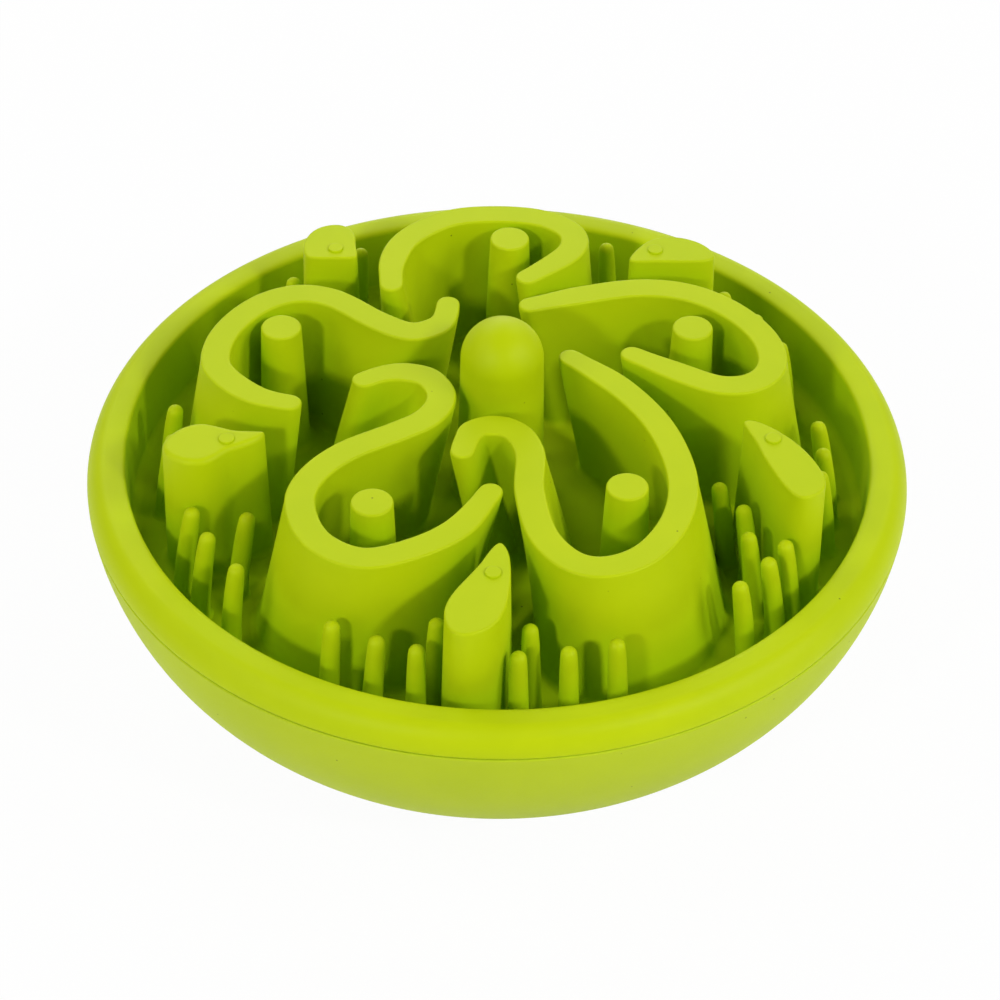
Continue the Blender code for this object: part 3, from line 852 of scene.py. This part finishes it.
def peg_tree():
    """A node tree that sets one leaning peg on every point it is given."""
    tree = bpy.data.node_groups.new("rubber pegs", "GeometryNodeTree")
    face = tree.interface
    face.new_socket("Feet", in_out="INPUT", socket_type="NodeSocketGeometry")
    for name in ("Height", "Foot radius", "Lean", "Tilt"):
        face.new_socket(name, in_out="INPUT", socket_type="NodeSocketFloat")
    face.new_socket("Rubber", in_out="INPUT", socket_type="NodeSocketMaterial")
    face.new_socket("Pegs", in_out="OUTPUT", socket_type="NodeSocketGeometry")
    given = add_node(tree, "NodeGroupInput").outputs

    way = add_node(tree, "GeometryNodeSplineParameter").outputs["Factor"]
    eased = add_node(tree, "ShaderNodeMapRange", {"Value": way}, interpolation_type="SMOOTHSTEP")
    share = eased.outputs[0]
    outline = add_node(tree, "ShaderNodeFloatCurve", {"Value": share})
    points = outline.mapping.curves[0].points
    points[0].location, points[1].location = PEG_OUTLINE[0], PEG_OUTLINE[-1]
    for spot in PEG_OUTLINE[1:-1]:
        points.new(*spot)
    for point in points:
        point.handle_type = "AUTO_CLAMPED"
    outline.mapping.update()
    radius = add_node(tree, "ShaderNodeMath",
                      {0: outline.outputs[0], 1: given["Foot radius"]}, operation="MULTIPLY")
    rise = add_node(tree, "ShaderNodeMath", {0: share, 1: given["Height"]}, operation="MULTIPLY")
    bend = add_node(tree, "ShaderNodeMath", {0: share, 1: PEG_BEND}, operation="POWER")
    lean = add_node(tree, "ShaderNodeMath",
                    {0: bend.outputs[0], 1: given["Lean"]}, operation="MULTIPLY")

    line = add_node(tree, "GeometryNodeCurvePrimitiveLine", {"End": (0.0, 0.0, 1.0)})
    fine = add_node(tree, "GeometryNodeResampleCurve",
                    {"Curve": line.outputs[0], "Count": PEG_RINGS})
    spot = add_node(tree, "ShaderNodeCombineXYZ", {"X": lean.outputs[0], "Z": rise.outputs[0]})
    sized = add_node(tree, "GeometryNodeSetCurveRadius",
                     {"Curve": fine.outputs[0], "Radius": radius.outputs[0]})
    bent = add_node(tree, "GeometryNodeSetPosition",
                    {"Geometry": sized.outputs[0], "Position": spot.outputs[0]})
    ring = add_node(tree, "GeometryNodeCurvePrimitiveCircle",
                    {"Resolution": PEG_SIDES, "Radius": 1.0})
    width = add_node(tree, "GeometryNodeInputRadius").outputs[0]
    peg = add_node(tree, "GeometryNodeCurveToMesh",
                   {"Curve": bent.outputs[0], "Profile Curve": ring.outputs[0],
                    "Scale": width, "Fill Caps": True})

    foot = add_node(tree, "GeometryNodeInputPosition")
    inward = add_node(tree, "ShaderNodeVectorMath",
                      {0: foot.outputs[0], 1: (-1.0, -1.0, 0.0)}, operation="MULTIPLY")
    turned = add_node(tree, "FunctionNodeAlignRotationToVector",
                      {"Vector": inward.outputs[0]}, axis="X", pivot_axis="Z")
    tilt_low = add_node(tree, "ShaderNodeVectorMath",
                        {0: (-1.0, -1.0, 0.0), "Scale": given["Tilt"]}, operation="SCALE")
    tilt_high = add_node(tree, "ShaderNodeVectorMath",
                         {0: (1.0, 1.0, 0.0), "Scale": given["Tilt"]}, operation="SCALE")
    tilt = add_node(tree, "FunctionNodeRandomValue",
                    {0: tilt_low.outputs[0], 1: tilt_high.outputs[0], "Seed": TILT_SEED},
                    data_type="FLOAT_VECTOR")
    copies = add_node(tree, "GeometryNodeInstanceOnPoints",
                      {"Points": given["Feet"], "Instance": peg.outputs[0],
                       "Rotation": turned.outputs[0]})
    tilted = add_node(tree, "GeometryNodeRotateInstances",
                      {"Instances": copies.outputs[0], "Rotation": tilt.outputs[0]})
    real = add_node(tree, "GeometryNodeRealizeInstances", {"Geometry": tilted.outputs[0]})
    smooth = add_node(tree, "GeometryNodeSetShadeSmooth", {"Geometry": real.outputs[0]})
    painted = add_node(tree, "GeometryNodeSetMaterial",
                       {"Geometry": smooth.outputs[0], "Material": given["Rubber"]})
    add_node(tree, "NodeGroupOutput", {"Pegs": painted.outputs[0]})
    return tree


PEGS = peg_tree()
print("peg nodes:", len(PEGS.nodes))

# %% Pegs at every foot
PEG_FOOT_OUT = 2.2 * MM
SOLID_LEAN = 1.3 * MM
PEG_BURIED = 0.15 * MM
PEG_SIZES = {"Foot radius": 3.9 * MM, "Lean": SOLID_LEAN + PEG_FOOT_OUT,
             "Tilt": math.radians(1.3), "Rubber": maze_rubber}
peg_nodes = sorted(name for name in NODES if name.startswith("peg_"))
spots = []
for name in peg_nodes:
    low = [v.co for v in NODES[name].data.vertices if v.co.z < FOOT_Z + LEVEL]
    centre = (Vector(map(min, *low)) + Vector(map(max, *low))) / 2
    centre += Vector((centre.x, centre.y, 0.0)).normalized() * PEG_FOOT_OUT
    spots.append((centre.x, centre.y, FLOOR_Z - PEG_BURIED))
PEG_SIZES["Height"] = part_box(peg_nodes[0])[1].z - FLOOR_Z + PEG_BURIED

feet = bpy.data.meshes.new("peg feet")
feet.from_pydata(spots, [], [])
shape = grown(feet, PEGS, **PEG_SIZES)
pegs = finish_piece("pegs", shape, maze_rubber, "maze_rubber", *peg_nodes)
print("pegs:", len(spots), "faces:", len(pegs.data.polygons))
